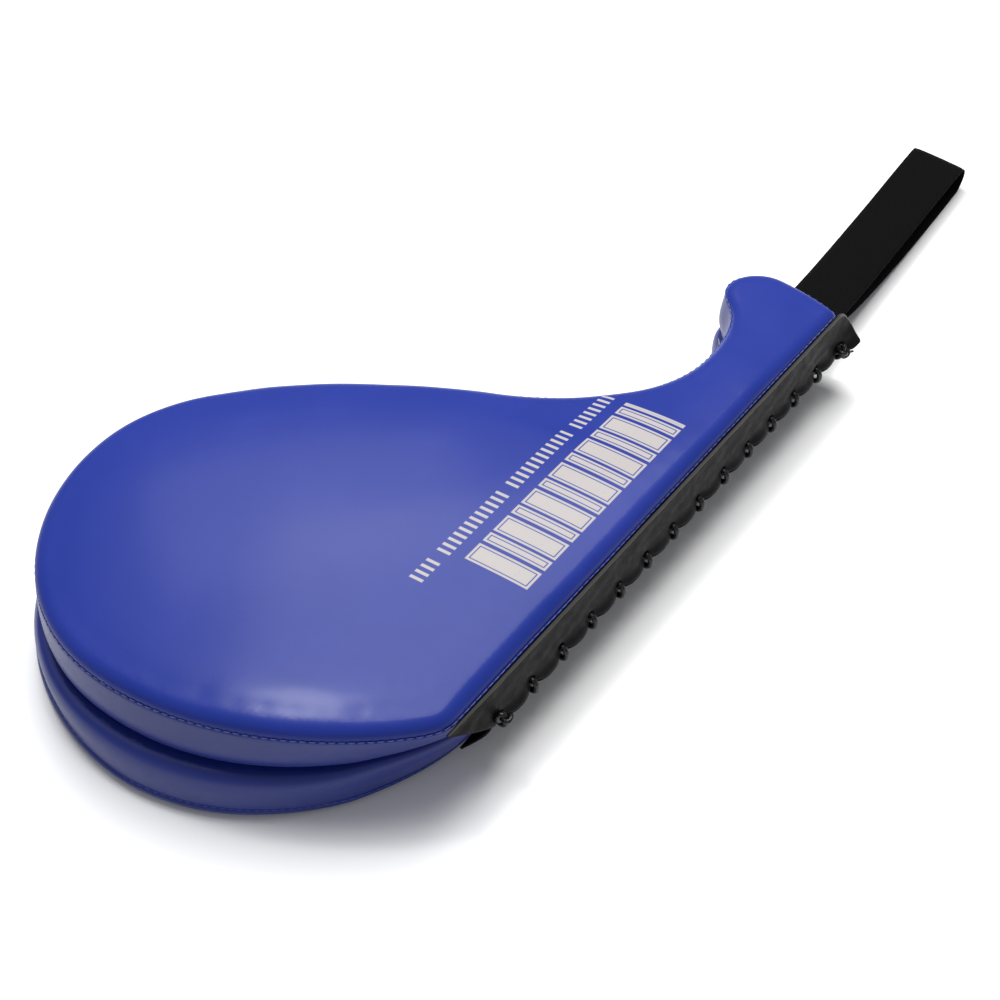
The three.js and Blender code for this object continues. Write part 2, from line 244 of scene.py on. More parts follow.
def tube(path, radius, sides, across=None):
    """A tube round a path, closed at both ends by a small dome. Returns points, faces, uv."""
    path = np.asarray(path, float)
    tangent = np.gradient(path, axis=0)
    tangent /= np.linalg.norm(tangent, axis=1, keepdims=True)
    normal = np.cross(tangent[0], across if across is not None else (0.31, 0.42, 0.85))
    normal /= np.linalg.norm(normal)
    radius = np.broadcast_to(np.asarray(radius, float), (len(path),))
    angle = np.linspace(0, 2 * math.pi, sides, endpoint=False)
    distance = np.concatenate([[0], np.cumsum(np.linalg.norm(np.diff(path, axis=0), axis=1))])
    points, uv = [], []
    ends = [(0, -0.75, 0.55), (0, -0.45, 0.87)]
    rings = ends + [(i, 0, 1) for i in range(len(path))]
    rings += [(len(path) - 1, 0.45, 0.87), (len(path) - 1, 0.75, 0.55)]
    for i, along, size in rings:
        normal = normal - tangent[i] * normal.dot(tangent[i])
        normal /= np.linalg.norm(normal)
        side = np.cross(tangent[i], normal)
        centre = path[i] + tangent[i] * along * radius[i]
        ring = np.outer(np.cos(angle), normal) + np.outer(np.sin(angle), side)
        points.append(centre + ring * radius[i] * size)
        uv.append(np.stack([
            np.full(sides, distance[i] + along * radius[i]),
            np.minimum(angle, 2 * math.pi - angle) / math.pi,
        ], 1))
    faces = grid_faces(len(rings), sides, wrap_columns=True)
    faces.append(tuple(range(sides))[::-1])
    faces.append(tuple(range((len(rings) - 1) * sides, len(rings) * sides)))
    return np.vstack(points), faces, np.vstack(uv)


def joined(parts):
    """Several (points, faces, uv) bodies as one."""
    points, faces, uv = [], [], []
    offset = 0
    for part_points, part_faces, part_uv in parts:
        points.append(part_points)
        uv.append(part_uv)
        faces += [tuple(i + offset for i in face) for face in part_faces]
        offset += len(part_points)
    return np.vstack(points), faces, np.vstack(uv)


def apply_modifiers(piece):
    """Replaces the mesh of a piece by what its modifiers make of it."""
    depsgraph = bpy.context.evaluated_depsgraph_get()
    made = bpy.data.meshes.new_from_object(piece.evaluated_get(depsgraph))
    old = piece.data
    piece.modifiers.clear()
    piece.data = made
    bpy.data.meshes.remove(old)


def subdivide(piece, levels=1):
    modifier = piece.modifiers.new("smooth", "SUBSURF")
    modifier.levels = levels
    modifier.render_levels = levels
    apply_modifiers(piece)


# -------------------------------------------------------------------------- materials

class Finish:
    """A procedural material as it is put together."""

    def __init__(self, name, **numbers):
        self.material = bpy.data.materials.new(name)
        self.material.use_nodes = True
        self.nodes = self.material.node_tree.nodes
        self.links = self.material.node_tree.links
        self.shader = self.nodes["Principled BSDF"]
        for key, value in numbers.items():
            self.shader.inputs[key.replace("_", " ")].default_value = value

    def node(self, kind, *values, **settings):
        """A node, its inputs taken in order from values: a number, a socket or None."""
        node = self.nodes.new(kind)
        for key, value in settings.items():
            setattr(node, key, value)
        for i, value in enumerate(values):
            self.put(node.inputs[i], value)
        return node

    def put(self, socket, value):
        if isinstance(value, bpy.types.NodeSocket):
            self.links.new(value, socket)
        elif value is not None:
            socket.default_value = value

    def math(self, operation, a, b=None, c=None, clamp=False):
        node = self.node("ShaderNodeMath", a, b, c, operation=operation, use_clamp=clamp)
        return node.outputs[0]

    def place(self):
        return self.node("ShaderNodeTexCoord").outputs["Object"]

    def surface(self):
        """The surface coordinates, along and across, as two values."""
        uv = self.node("ShaderNodeUVMap", uv_map="surface").outputs[0]
        split = self.node("ShaderNodeSeparateXYZ", uv)
        return split.outputs[0], split.outputs[1]

    def noise(self, scale, detail=2.0, roughness=0.5, vector=None):
        node = self.node("ShaderNodeTexNoise")
        self.put(node.inputs["Vector"], vector if vector is not None else self.place())
        node.inputs["Scale"].default_value = scale
        node.inputs["Detail"].default_value = detail
        node.inputs["Roughness"].default_value = roughness
        return node.outputs["Fac"]

    def cells(self, scale, feature="F1", vector=None):
        node = self.node("ShaderNodeTexVoronoi", feature=feature)
        self.put(node.inputs["Vector"], vector if vector is not None else self.place())
        node.inputs["Scale"].default_value = scale
        return node.outputs["Distance"]

    def ramp(self, value, low, high, out_low=0.0, out_high=1.0):
        node = self.node("ShaderNodeMapRange", value, low, high, out_low, out_high)
        return node.outputs[0]

    def mix(self, share, a, b):
        node = self.node("ShaderNodeMix", data_type="RGBA")
        self.put(node.inputs[0], share)
        self.put(node.inputs[6], a)
        self.put(node.inputs[7], b)
        return node.outputs[2]

    def bump(self, height, strength, distance, below=None):
        node = self.node("ShaderNodeBump")
        node.inputs["Strength"].default_value = strength
        node.inputs["Distance"].default_value = distance
        self.put(node.inputs["Height"], height)
        if below is not None:
            self.put(node.inputs["Normal"], below)
        return node.outputs[0]

    def finish(self, color, roughness, normal):
        self.put(self.shader.inputs["Base Color"], color)
        self.put(self.shader.inputs["Roughness"], roughness)
        self.put(self.shader.inputs["Normal"], normal)
        return self.material


def grain(finish, cell=1.0, strength=0.08, wrinkle=0.03):
    """The raised grain of coated leather, with a slow unevenness under it."""
    cells = finish.cells(1000 / cell)
    fine = finish.noise(2200 / cell, 2.0, 0.6)
    height = finish.math("MULTIPLY_ADD", fine, 0.5, cells)
    slow = finish.bump(finish.noise(70, 3.0, 0.5), wrinkle, 0.0016)
    return finish.bump(height, strength, 0.00022, below=slow), cells


def blue_leather(name, color, shade, shine=0.11):
    finish = Finish(name, Specular_IOR_Level=shine, Coat_Weight=0.13, Coat_Roughness=0.15)
    normal, cells = grain(finish)
    cloud = finish.noise(18, 3.0, 0.6)
    tone = finish.mix(finish.ramp(cloud, 0.3, 0.7), shade, color)
    # The grain's pits are drawn towards the darker shade colour: painted shade in the grain.
    tone = finish.mix(finish.ramp(cells, 0.0, 0.55, 0.22, 0.0), tone, shade)
    roughness = finish.ramp(finish.noise(160, 2.0), 0.3, 0.7, 0.41, 0.45)
    return finish, tone, roughness, normal


BLUE = (0.015, 0.030, 0.232, 1.0)
BLUE_SHADE = (0.0105, 0.026, 0.212, 1.0)
# The struck face's blue made darker for the side walls, the linings and the underside of the lower
# leaf, which get less light: painted shade.
SHADED_BLUE = (0.011, 0.025, 0.20, 1.0)
SHADED_DARKER = (0.010, 0.022, 0.175, 1.0)
PRINT = (0.415, 0.39, 0.37, 1.0)


def plain_leather(name, color, shade, shine=0.11):
    finish, tone, roughness, normal = blue_leather(name, color, shade, shine)
    return finish.finish(tone, roughness, normal)


# The printed band: a wide and a narrow bar take turns, each with a thin line inside its
# border. The row of ticks beside it stands in groups.
PRINT_BAND = {"start": -229.0, "end": -110.0, "low": 14.0, "high": 44.0, "pitch": 19.3}
PRINT_BARS = ((0.6, 11.2), (12.8, 18.7))
PRINT_ROW = {"start": -254.0, "end": -115.0, "low": 49.5, "high": 56.0, "pitch": 3.6}
PRINT_SLANT = 0.14
PRINT_LINE = (1.25, 1.75)
TICK = (0.5, 2.3)
TICK_GROUP = 46.8
FACE_HEIGHTS = (0.050, 0.052)  # the ink fades in between them, so that the wall has none


def struck_leather():
    """Blue leather with a printed band of slanted bars and a row of fine ticks."""
    finish, tone, roughness, normal = blue_leather("struck_leather", BLUE, BLUE_SHADE)
    split = finish.node("ShaderNodeSeparateXYZ", finish.place())
    x = finish.math("MULTIPLY", finish.math("SUBTRACT", split.outputs[0], ORIGIN.x), 1000.0)
    y = finish.math("MULTIPLY", finish.math("SUBTRACT", split.outputs[1], ORIGIN.y), 1000.0)
    height = split.outputs[2]
    slant = finish.math("MULTIPLY_ADD", y, PRINT_SLANT, x)

    def within(value, low, high):
        """How far a value lies inside an interval, negative outside it."""
        above = finish.math("SUBTRACT", value, low)
        return finish.math("MINIMUM", above, finish.math("SUBTRACT", high, value))

    def along(shape):
        """The place within the pitch of a printed shape, and the depth inside its ends."""
        start = shape["start"] + PRINT_SLANT * shape["low"]
        turn = finish.math("DIVIDE", finish.math("SUBTRACT", slant, start), shape["pitch"])
        place_ = finish.math("MULTIPLY", finish.math("FRACT", turn), shape["pitch"])
        end = shape["end"] + PRINT_SLANT * shape["low"]
        return place_, finish.math("MINIMUM", within(slant, start, end),
                                   within(y, shape["low"], shape["high"]))

    place_, depth = along(PRINT_BAND)
    bars = finish.math("MAXIMUM", *(within(place_, *bar) for bar in PRINT_BARS))
    depth = finish.math("MINIMUM", depth, bars)
    line = finish.ramp(within(depth, *PRINT_LINE), -0.1, 0.1, 1.0, 0.0)
    band = finish.math("MULTIPLY", finish.ramp(depth, 0.0, 0.3), line)
    place_, depth = along(PRINT_ROW)
    depth = finish.math("MINIMUM", depth, within(place_, *TICK))
    group = finish.math("FRACT", finish.math("DIVIDE", slant, TICK_GROUP))
    row = finish.math("MULTIPLY", finish.ramp(depth, 0.0, 0.3), finish.ramp(group, 0.1, 0.12))
    ink = finish.math("ADD", band, row, clamp=True)
    worn = finish.ramp(finish.noise(900, 3.0, 0.65), 0.26, 0.36, 0.75, 1.0)
    ink = finish.math("MULTIPLY", ink, worn)
    ink = finish.math("MULTIPLY", ink, finish.ramp(height, *FACE_HEIGHTS, 0.0, 0.94))
    tone = finish.mix(ink, tone, PRINT)
    return finish.finish(tone, finish.math("MULTIPLY_ADD", ink, 0.12, roughness), normal)


def strip_leather(name, color, shade):
    finish = Finish(name, Specular_IOR_Level=0.07)
    normal, cells = grain(finish, cell=0.8, strength=0.3, wrinkle=0.45)
    cloud = finish.noise(60, 4.0, 0.6)
    tone = finish.mix(finish.ramp(cloud, 0.3, 0.7), shade, color)
    scuff = finish.ramp(finish.noise(420, 4.0, 0.7), 0.62, 0.75, 0.0, 0.25)
    tone = finish.mix(scuff, tone, (0.03, 0.0285, 0.027, 1.0))
    roughness = finish.ramp(finish.noise(240, 2.0), 0.3, 0.7, 0.42, 0.56)
    return finish.finish(tone, roughness, normal)


def raw_edge():
    """The cut edge of split leather, with short fibres along it."""
    finish = Finish("strip_raw_edge", Sheen_Weight=0.3)
    fibres = finish.noise(1500, 4.0, 0.7)
    tone = finish.mix(fibres, (0.010, 0.009, 0.007, 1.0), (0.036, 0.030, 0.021, 1.0))
    normal = finish.bump(fibres, 0.6, 0.0003)
    return finish.finish(tone, finish.ramp(fibres, 0.2, 0.8, 0.65, 0.9), normal)


def cord_finish():
    """Round braided cord with a hard glaze."""
    finish = Finish("lace_braid", Coat_Weight=0.4, Coat_Roughness=0.08, Specular_IOR_Level=0.2)
    along, around = finish.surface()
    turn = finish.math("MULTIPLY", along, 2 * math.pi / 2.2)
    lift = finish.math("MULTIPLY", around, 4 * math.pi)
    one = finish.math("SINE", finish.math("ADD", turn, lift))
    two = finish.math("SINE", finish.math("SUBTRACT", turn, lift))
    braid = finish.math("MULTIPLY", one, two)
    normal = finish.bump(braid, 0.5, 0.00018)
    normal = finish.bump(finish.noise(3000, 2.0), 0.15, 0.0001, below=normal)
    # Darker in the braid's grooves and lighter on its strands: painted shade.
    dark, light = (0.002, 0.002, 0.0025, 1), (0.008, 0.008, 0.009, 1)
    tone = finish.mix(finish.ramp(braid, -1.0, 0.6), dark, light)
    return finish.finish(tone, finish.ramp(braid, -1.0, 1.0, 0.42, 0.26), normal)


def webbing_finish():
    """Woven webbing: ribs along it, crossed by finer picks."""
    finish = Finish(
        "strap_webbing", Sheen_Weight=0.01, Sheen_Roughness=0.4, Specular_IOR_Level=0.07
    )
    along, across = finish.surface()
    rib = finish.math("SINE", finish.math("MULTIPLY", across, 2 * math.pi / 1.5))
    flip = finish.math("SIGN", rib)
    pick = finish.math("MULTIPLY", along, 2 * math.pi / 1.1)
    pick = finish.math("SINE", finish.math("MULTIPLY_ADD", flip, math.pi / 2, pick))
    weave = finish.math("ADD", finish.math("ABSOLUTE", rib), finish.math("MULTIPLY", pick, 0.6))
    fuzz = finish.noise(2600, 3.0, 0.7)
    normal = finish.bump(weave, 0.75, 0.00030)
    normal = finish.bump(fuzz, 0.35, 0.00015, below=normal)
    # Darker where the weave sinks and lighter on the ribs: painted shade.
    dark, light = (0.001, 0.001, 0.001, 1), (0.003, 0.003, 0.003, 1)
    tone = finish.mix(finish.ramp(weave, -0.3, 1.5), dark, light)
    tone = finish.mix(finish.ramp(fuzz, 0.55, 0.8, 0.0, 0.3), tone, (0.008, 0.008, 0.0085, 1))
    return finish.finish(tone, finish.ramp(fuzz, 0.2, 0.8, 0.7, 0.9), normal)


def thread_finish():
    """Twisted sewing thread."""
    finish = Finish("seam_thread", Sheen_Weight=0.2)
    along, around = finish.surface()
    twist = finish.math("MULTIPLY", along, 2 * math.pi / 0.55)
    twist = finish.math("SINE", finish.math("MULTIPLY_ADD", around, 2 * math.pi, twist))
    # Darker in the twist's grooves and lighter on the plies: painted shade.
    dark, light = (0.03, 0.05, 0.27, 1), (0.09, 0.12, 0.42, 1)
    tone = finish.mix(finish.ramp(twist, -1.0, 1.0), dark, light)
    roughness = finish.ramp(twist, -1.0, 1.0, 0.62, 0.45)
    return finish.finish(tone, roughness, finish.bump(twist, 0.6, 0.0001))


def board_finish():
    """Closed-cell foam board."""
    finish = Finish("foam_board")
    cells = finish.cells(900, "DISTANCE_TO_EDGE")
    # Darker in the grooves along the cell edges: painted shade.
    dark, light = (0.20, 0.205, 0.21, 1), (0.30, 0.305, 0.315, 1)
    tone = finish.mix(finish.ramp(cells, 0.0, 0.12), dark, light)
    normal = finish.bump(cells, 0.5, 0.0003)
    return finish.finish(tone, finish.ramp(finish.noise(60), 0.3, 0.7, 0.75, 0.88), normal)


def slat_finish():
    """Extruded plastic with drag lines along it."""
    finish = Finish("slat_plastic")
    stretched = finish.node(
        "ShaderNodeVectorMath", finish.place(), (0.04, 1, 1), operation="MULTIPLY"
    )
    lines = finish.noise(1800, 3.0, 0.6, vector=stretched.outputs[0])
    tone = finish.mix(lines, (0.50, 0.47, 0.39, 1), (0.60, 0.57, 0.49, 1))
    roughness = finish.ramp(lines, 0.3, 0.7, 0.38, 0.5)
    return finish.finish(tone, roughness, finish.bump(lines, 0.3, 0.0001))


def floor_finish():
    """Smooth white table top."""
    finish = Finish("studio_floor")
    cloud = finish.noise(3.0, 2.0)
    tone = finish.mix(cloud, (0.88, 0.88, 0.885, 1), (0.90, 0.90, 0.90, 1))
    normal = finish.bump(finish.noise(400, 2.0), 0.05, 0.0002)
    return finish.finish(tone, finish.ramp(cloud, 0.3, 0.7, 0.55, 0.62), normal)


STRUCK = struck_leather()
# Wall and lining leather take the darker blue: painted shade.
WALL = plain_leather("wall_leather", SHADED_BLUE, SHADED_DARKER, shine=0.3)
LINING = plain_leather("lining_leather", SHADED_BLUE, SHADED_DARKER)
# The seam lip's leather is a lighter blue than the face: a painted highlight along the seam.
SEAM_LIP_HIGHLIGHT = plain_leather("seam_lip_painted_highlight", (0.011, 0.034, 0.29, 1), BLUE_SHADE)
THREAD = thread_finish()
STRIP = strip_leather("strip_leather", (0.009, 0.0083, 0.008, 1), (0.004, 0.004, 0.004, 1))
RAW_EDGE = raw_edge()
CORD = cord_finish()
WEBBING = webbing_finish()

# --------------------------------------------------------------------------- leaf skin

FILL_INSET = 5.4
FACE_POINT_GAP = 4.0
LINING_POINT_GAP = 9.0
CROWN = ((1.6, 9), (2.8, 42))  # (rise, distance from the edge over which it comes)
HANDLE_FLATTER = 0.36  # the share of the crown that is missing over the handle
SWELL_CAP = 0.9
SEAM_SWELL_CAP = 0.3
FLOOR_GAP = 0.0003


def wall_profile(leaf):
    """(height, inset) from the lining's edge up the side wall to the seam."""
    top = leaf.wall_top
    rows = [(1.2, 2.4), (1.4, 0.7), (2.2, -0.5), (3.8, -1.4)]
    for share, swell in ((0.27, 1.9), (0.42, 1.9), (0.58, 1.5), (0.74, 0.9), (0.88, 0.4)):
        rows.append((top * share, -swell))
    rows.append((top - 1.1, -0.15))
    rows.append((top - 0.5, 0.1))
    return rows


def crown_profile(leaf):
    """(height, inset) from the seam over the shoulder of the face."""
    top = leaf.wall_top
    scale = leaf.crown_rise / 6.6
    out = 0.0 if leaf is UPPER else 1.7
    return [
        (top - 0.35, 0.75),
        (top + 0.7 * scale, 0.45 - 0.45 * out),
        (top + 1.9 * scale, 0.7 - 0.85 * out),
        (top + 3.3 * scale, 1.6 - out),
        (top + 4.6 * scale, 3.2 - 0.7 * out),
        (top + 5.6 * scale, FILL_INSET),
    ]


def leaf_loop(leaf, height, inset):
    """The outline of a leaf at a height, moved inwards."""
    share = min(max(height / leaf.wall_top, 0), 1)
    loop = outline(INNER_HEAD) * (1 - share) + outline(leaf.head) * share
    steps = int(abs(inset) / 0.4) + 1
    for _ in range(steps):
        loop = loop + inwards(loop) * inset / steps
        loop = spread(loop)
    return loop


def spread(loop):
    """Slides crowded points along their line, so that a tight corner doesn't fold."""
    before, after = np.roll(loop, 1, 0), np.roll(loop, -1, 0)
    tangent = after - before
    tangent /= np.linalg.norm(tangent, axis=1, keepdims=True)
    pull = (before + after) / 2 - loop
    return loop + tangent * 0.6 * np.sum(pull * tangent, axis=1, keepdims=True)


def edge_distance(points, loop):
    """The distance from each point to a closed line."""
    start, end = loop, np.roll(loop, -1, 0)
    span = end - start
    best = np.full(len(points), np.inf)
    for a, d in zip(start, span):
        t = np.clip(((points - a) @ d) / d.dot(d), 0, 1)
        best = np.minimum(best, np.linalg.norm(points - a - t[:, None] * d, axis=1))
    return best


def inside(points, loop):
    """Whether each point lies within a closed line."""
    x, y = points[:, 0], points[:, 1]
    odd = np.zeros(len(points), bool)
    for (ax, ay), (bx, by) in zip(loop, np.roll(loop, -1, 0)):
        if ay == by:
            continue
        crosses = (ay > y) != (by > y)
        odd ^= crosses & (x < ax + (y - ay) * (bx - ax) / (by - ay))
    return odd


def fill(loop, gap):
    """Fills a closed line with triangles on a grid of points. The first points are its own."""
    low, high = loop.min(0), loop.max(0)
    step = gap * math.sqrt(0.75)
    grid = np.array([
        (x + (row % 2) * gap / 2, low[1] + row * step)
        for row in range(int((high[1] - low[1]) / step) + 1)
        for x in np.arange(low[0], high[0], gap)
    ])
    grid = grid[inside(grid, loop)]
    grid = grid[edge_distance(grid, loop) > gap * 0.6]
    points = np.vstack([loop, grid])
    count = len(loop)
    edges = [(i, (i + 1) % count) for i in range(count)]
    made = delaunay_2d_cdt([Vector(p) for p in points], edges, [], 1, 1e-5)
    origin = [ids[0] for ids in made[3]]
    return points, [tuple(origin[i] for i in face) for face in made[2]]


def evened(values, pairs, fixed, rounds):
    """Averages each value with its neighbours' over a mesh; the first ones stay as given."""
    pairs = np.vstack([pairs, pairs[:, ::-1]])
    number = np.bincount(pairs[:, 0], minlength=len(values))
    for _ in range(rounds):
        total = np.bincount(pairs[:, 0], values[pairs[:, 1]], minlength=len(values))
        mean = total / np.maximum(number, 1)
        values = np.concatenate([values[:fixed], (values + mean)[fixed:] / 2])
    return values


def leaf_skin(leaf, face_material):
    """The closed cover of a leaf: struck face, side wall and inner lining in one skin."""
    profile = wall_profile(leaf) + crown_profile(leaf)
    rows = [place(leaf, *leaf_loop(leaf, height, inset).T, height) for height, inset in profile]
    count = len(rows[0])
    faces = grid_faces(len(rows), count, wrap_columns=True)
    wall_rows = len(wall_profile(leaf))
    slots = [0 if i // count >= wall_rows else 1 for i in range(len(faces))]
    points = list(rows)
    total = len(rows) * count

    rim = leaf_loop(leaf, profile[-1][0], FILL_INSET)
    flat, triangles = fill(rim, FACE_POINT_GAP)
    extra = flat[count:]
    deep = edge_distance(extra, rim)
    rise = sum(top * (1 - np.exp(-deep / reach)) for top, reach in CROWN)
    pairs = np.array([(t[i], t[i - 1]) for t in triangles for i in range(3)])
    rise = evened(np.concatenate([np.zeros(count), rise]), pairs, count, 14)[count:]
    height = profile[-1][0] + rise * (1 if leaf is UPPER else 0.3)
    points.append(place(leaf, *extra.T, height))
    shift = (len(rows) - 1) * count
    faces += [tuple(i + (shift if i < count else total - count) for i in f) for f in triangles]
    slots += [0] * len(triangles)
    total += len(extra)

    rim = leaf_loop(leaf, profile[0][0], profile[0][1])
    flat, triangles = fill(rim, LINING_POINT_GAP)
    extra = flat[count:]
    points.append(place(leaf, *extra.T, profile[0][0]))
    faces += [tuple(i if i < count else i + total - count for i in f) for f in triangles]
    slots += [2] * len(triangles)

    points = np.vstack(points)
    over = np.abs(points[:, 2] - HINGE_Z) - leaf.wall_top
    flatter = HANDLE_FLATTER * smoothstep(points[:, 0], -75, -12)
    points[:, 2] -= leaf.side * np.maximum(over, 0) * flatter
    skin = make_mesh(
        f"{leaf.prefix}_leaf_skin", points, faces, [face_material, WALL, LINING], slots
    )
    return skin, profile, count, wall_rows


def held_points(leaf, profile, count, wall_rows, total):
    """How firmly each point of the skin is held while it swells."""
    held = np.ones(total)
    laced = smoothstep(outline(leaf.head)[:, 1], 1.0, 14.0)
    for i in range(len(profile)):
        row = slice(i * count, (i + 1) * count)
        if 3 < i < wall_rows - 3:
            held[row] = 1 - laced
        elif i > wall_rows:
            held[row] = max(0.0, 1.0 - 0.25 * (i - wall_rows))
    face = slice(len(profile) * count, None)
    held[face] = 0
    return held


def swell(skin, held, cap):
    """Blows the skin up as cloth over its filling, with no point moving further than cap."""
    rest = np.zeros(len(skin.data.vertices) * 3)
    skin.data.vertices.foreach_get("co", rest)
    rest = rest.reshape(-1, 3)
    group = skin.vertex_groups.new(name="held")
    for i, weight in enumerate(held):
        group.add([i], float(weight), "REPLACE")
    cloth = skin.modifiers.new("cloth", "CLOTH")
    settings = cloth.settings
    settings.quality = 6
    settings.mass = 0.3
    settings.tension_stiffness = 25
    settings.compression_stiffness = 25
    settings.shear_stiffness = 12
    settings.bending_stiffness = 0.6
    settings.use_pressure = True
    settings.uniform_pressure_force = 4
    settings.effector_weights.gravity = 0
    settings.vertex_group_mass = "held"
    settings.shrink_min = -0.02
    cloth.collision_settings.use_collision = False
    scene = bpy.context.scene
    for step in range(1, 21):
        scene.frame_set(step)
    depsgraph = bpy.context.evaluated_depsgraph_get()
    made = skin.evaluated_get(depsgraph).to_mesh()
    moved = np.zeros(len(rest) * 3)
    made.vertices.foreach_get("co", moved)
    shift = moved.reshape(-1, 3) - rest
    skin.evaluated_get(depsgraph).to_mesh_clear()
    skin.modifiers.clear()
    scene.frame_set(1)
    pairs = np.zeros(len(skin.data.edges) * 2, np.int32)
    skin.data.edges.foreach_get("vertices", pairs)
    for axis in range(3):
        shift[:, axis] = evened(shift[:, axis], pairs.reshape(-1, 2), 0, 24)
    length = np.linalg.norm(shift, axis=1)
    limit = cap * np.tanh(length / np.maximum(cap, 1e-9))
    shift *= (limit / np.maximum(length, 1e-9))[:, None]
    skin.data.vertices.foreach_set("co", (rest + shift).ravel())
    skin.data.update()
    skin.vertex_groups.clear()


def make_skin(leaf, face_material):
    skin, profile, count, wall_rows = leaf_skin(leaf, face_material)
    total = len(skin.data.vertices)
    held = held_points(leaf, profile, count, wall_rows, total)
    cap = np.full(total, SWELL_CAP * MM)
    cap[wall_rows * count : (wall_rows + 2) * count] = SEAM_SWELL_CAP * MM
    swell(skin, held, cap)
    if leaf is LOWER:
        for vertex in skin.data.vertices:
            vertex.co.z = max(vertex.co.z, FLOOR_GAP)
    subdivide(skin)
    replaced = ("face_cover", "side_band", "inner_lining", "impact_foam")
    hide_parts(*(f"{leaf.prefix}_{node}" for node in replaced))
    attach(skin, leaf.body)


# -------------------------------------------------------------------------- seam edge

STITCH_PITCH = 3.8
STITCH_RADIUS = 0.24
WANDER_GAP = 12  # points between two places where the seam's wander is drawn
SEAM_SECTION = (
    (-0.6, 0.35), (-0.75, -0.1), (-0.5, -0.4), (0.0, -0.5), (0.4, -0.4), (0.55, -0.1),
    (0.5, 0.25), (0.25, 0.5), (-0.2, 0.55),
)


def even_outline(leaf, spacing):
    """The face outline with points at an even spacing along it."""
    loop = outline(leaf.head, refine=4)
    closed = np.vstack([loop, loop[:1]])
    distance = np.concatenate([[0], np.cumsum(np.linalg.norm(np.diff(closed, axis=0), axis=1))])
    count = int(round(distance[-1] / spacing / 4)) * 4
    at = np.linspace(0, distance[-1], count, endpoint=False)
    return np.stack([np.interp(at, distance, closed[:, i]) for i in range(2)], 1)


def seam_edge(leaf):
    """The turned-out edges of cover and wall, sewn together into a narrow raised lip."""
    loop = even_outline(leaf, STITCH_PITCH / 4)
    stitches = len(loop) // 4
    normal = inwards(loop)
    phase = np.arange(len(loop)) % 4
    pinch = np.array([0.22, 0.05, 0.0, 0.05])[phase]
    rng = np.random.default_rng(7)
    knots = np.arange(0, len(loop) + WANDER_GAP, WANDER_GAP)
    drawn = rng.normal(0, 0.08, len(loop) // WANDER_GAP + 2)[: len(knots)]
    wander = np.interp(np.arange(len(loop)), knots, drawn)
    rows = []
    for height, inset in SEAM_SECTION:
        outer = height > 0
        inset_here = inset + wander + np.where(outer, pinch * np.sign(-inset), 0)
        height_here = leaf.wall_top - 0.15 + height - (pinch if outer else 0)
        moved = loop + normal * (inset_here + 0.3)[:, None]
        rows.append(place(leaf, *moved.T, height_here))
    points = np.vstack(rows)
    faces = grid_faces(len(rows), len(loop), wrap_rows=True, wrap_columns=True)
    # The lip takes the lighter blue: painted highlight.
    piece = make_mesh(f"{leaf.prefix}_seam_edge", points, faces, [SEAM_LIP_HIGHLIGHT])
    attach(piece, leaf.body)

    bodies = []
    for i in range(stitches):
        at = (i * 4 + np.array([0.45, 1.2, 2.0, 2.8, 3.55])) % len(loop)
        whole = at.astype(int)
        part = (at - whole)[:, None]
        after = (whole + 1) % len(loop)
        base = loop[whole] * (1 - part) + loop[after] * part
        out = normal[whole] * (1 - part) + normal[after] * part
        lift = np.array([-0.25, 0.08, 0.16, 0.08, -0.25])
        moved = base + out * (0.15 - lift + wander[whole])[:, None]
        path = place(leaf, *moved.T, leaf.wall_top + 0.25 + lift)
        bodies.append(tube(path, STITCH_RADIUS, 6))
    points, faces, uv = joined(bodies)
    thread = make_mesh(f"{leaf.prefix}_seam_stitches", points, faces, [THREAD], uv=uv)
    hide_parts(f"{leaf.prefix}_seam_thread")
    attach(thread, leaf.body)


# -------------------------------------------------------------------------- lacing strip

LACE_COUNT = 14  # loops through the eyelets, counted from the strap
LACE_PITCH = 21.0
LACE_FIRST_X = 6.0
LACE_RADIUS = 1.35
LOOP_RADIUS = 3.8
KNOT_RADIUS = 1.15
KNOT_SIZE = 1.05
KNOT_STANDOFF = 5.2
EYELET_RADIUS = 1.8
STRIP_HEAD_X = -267.0
STRIP_HALF = 0.7
FLAP_END = 15.5  # how far the visible strips reach past the handle end


def lace_x(index):
    return LACE_FIRST_X - index * LACE_PITCH


def loop_pull(x):
    """1 at each lace loop, 0 half way between two."""
    turn = (np.asarray(x, float) - LACE_FIRST_X) / LACE_PITCH
    near = np.abs(turn - np.round(turn)) * LACE_PITCH
    pull = np.exp(-((near / 4.6) ** 2))
    return np.where((turn > 0.5) | (turn < -LACE_COUNT + 0.5), 0.0, pull)


